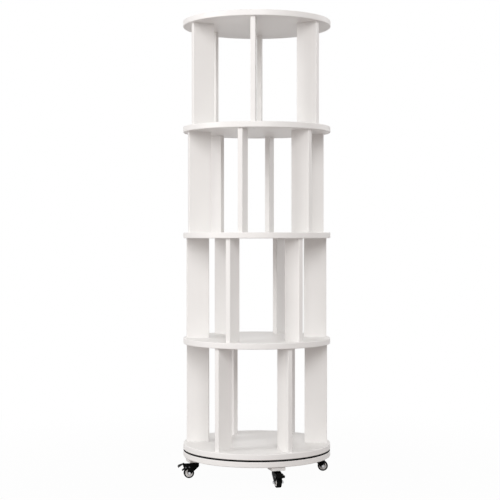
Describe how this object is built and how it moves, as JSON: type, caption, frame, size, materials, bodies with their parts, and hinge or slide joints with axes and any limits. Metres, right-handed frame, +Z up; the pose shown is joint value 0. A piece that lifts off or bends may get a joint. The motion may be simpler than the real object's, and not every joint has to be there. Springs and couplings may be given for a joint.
{
  "type": "revolving bookcase",
  "caption": "Round revolving bookcase: tiers of open shelves on radial uprights, turning on a ball ring over a round base that rolls on swivel casters with foot brakes.",
  "frame": {"origin": "on the floor under the turning axis, level with the lowest line of the caster wheels", "axes": "+Z up along the turning axis; -Y is the front, the side that faces the viewer; +X to the right"},
  "size_m": [0.4753, 0.4752, 1.416],
  "materials": {
    "white_board": "satin",
    "black_steel": "satin",
    "zinc_steel": "satin",
    "bearing_alloy": "satin",
    "ball_steel": "polished",
    "black_tyre": "matte",
    "grey_core": "matte"
  },
  "bodies": {
    "base": {"base_board": "white_board", "bearing_outer_ring": "bearing_alloy", "front_caster_block": "white_board", "front_caster_stem": "black_steel", "right_caster_block": "white_board", "right_caster_stem": "black_steel", "rear_caster_block": "white_board", "rear_caster_stem": "black_steel", "left_caster_block": "white_board", "left_caster_stem": "black_steel"},
    "tower": {"bottom_board": "white_board", "bearing_inner_ring": "bearing_alloy", "lower_shelf": "white_board", "middle_shelf": "white_board", "upper_shelf": "white_board", "top_board": "white_board", "lower_upright_1": "white_board", "lower_upright_2": "white_board", "lower_upright_3": "white_board", "lower_upright_4": "white_board", "lower_upright_5": "white_board", "lower_upright_6": "white_board", "middle_upright_1": "white_board", "middle_upright_2": "white_board", "middle_upright_3": "white_board", "middle_upright_4": "white_board", "middle_upright_5": "white_board", "middle_upright_6": "white_board", "upper_upright_1": "white_board", "upper_upright_2": "white_board", "upper_upright_3": "white_board", "upper_upright_4": "white_board", "upper_upright_5": "white_board", "upper_upright_6": "white_board", "top_upright_1": "white_board", "top_upright_2": "white_board", "top_upright_3": "white_board", "top_upright_4": "white_board", "top_upright_5": "white_board", "top_upright_6": "white_board"},
    "bearing_cage": {"bearing_ball_cage": "ball_steel"},
    "front_fork": {"front_caster_fork": "black_steel", "front_caster_axle": "zinc_steel"},
    "front_wheel": {"front_caster_tyre": "black_tyre", "front_caster_core": "grey_core"},
    "front_brake": {"front_caster_brake": "black_steel"},
    "right_fork": {"right_caster_fork": "black_steel", "right_caster_axle": "zinc_steel"},
    "right_wheel": {"right_caster_tyre": "black_tyre", "right_caster_core": "grey_core"},
    "rear_fork": {"rear_caster_fork": "black_steel", "rear_caster_axle": "zinc_steel"},
    "rear_wheel": {"rear_caster_tyre": "black_tyre", "rear_caster_core": "grey_core"},
    "left_fork": {"left_caster_fork": "black_steel", "left_caster_axle": "zinc_steel"},
    "left_wheel": {"left_caster_tyre": "black_tyre", "left_caster_core": "grey_core"},
    "left_brake": {"left_caster_brake": "black_steel"}
  },
  "joints": [
    {"name": "turntable_spin", "type": "hinge", "parent": "base", "child": "tower", "pos_m": [0, 0, 0.0816], "axis": [0, 0, 1], "continuous": true},
    {"name": "cage_spin", "type": "hinge", "parent": "base", "child": "bearing_cage", "pos_m": [0, 0, 0.0816], "axis": [0, 0, 1], "continuous": true},
    {"name": "front_swivel", "type": "hinge", "parent": "base", "child": "front_fork", "pos_m": [0.05906, -0.19317, 0.0462], "axis": [0, 0, 1], "continuous": true},
    {"name": "front_roll", "type": "hinge", "parent": "front_fork", "child": "front_wheel", "pos_m": [0.06346, -0.20959, 0.016], "axis": [0.9659, 0.2588, 0], "continuous": true},
    {"name": "front_brake_press", "type": "hinge", "parent": "front_fork", "child": "front_brake", "pos_m": [0.0663, -0.22021, 0.03401], "axis": [0.9659, 0.2588, 0], "range_deg": [0, 18]},
    {"name": "right_swivel", "type": "hinge", "parent": "base", "child": "right_fork", "pos_m": [0.19317, 0.05906, 0.0462], "axis": [0, 0, 1], "continuous": true},
    {"name": "right_roll", "type": "hinge", "parent": "right_fork", "child": "right_wheel", "pos_m": [0.21016, 0.05965, 0.016], "axis": [-0.0349, 0.9994, 0], "continuous": true},
    {"name": "rear_swivel", "type": "hinge", "parent": "base", "child": "rear_fork", "pos_m": [-0.05906, 0.19317, 0.0462], "axis": [0, 0, 1], "continuous": true},
    {"name": "rear_roll", "type": "hinge", "parent": "rear_fork", "child": "rear_wheel", "pos_m": [-0.06201, 0.20991, 0.016], "axis": [-0.9848, -0.1736, 0], "continuous": true},
    {"name": "left_swivel", "type": "hinge", "parent": "base", "child": "left_fork", "pos_m": [-0.19317, -0.05906, 0.0462], "axis": [0, 0, 1], "continuous": true},
    {"name": "left_roll", "type": "hinge", "parent": "left_fork", "child": "left_wheel", "pos_m": [-0.20991, -0.06201, 0.016], "axis": [0.1736, -0.9848, 0], "continuous": true},
    {"name": "left_brake_press", "type": "hinge", "parent": "left_fork", "child": "left_brake", "pos_m": [-0.22074, -0.06392, 0.03401], "axis": [0.1736, -0.9848, 0], "range_deg": [0, 18]}
  ],
  "couplings": [
    {"joint": "cage_spin", "follows": "turntable_spin", "ratio": 0.5}
  ]
}
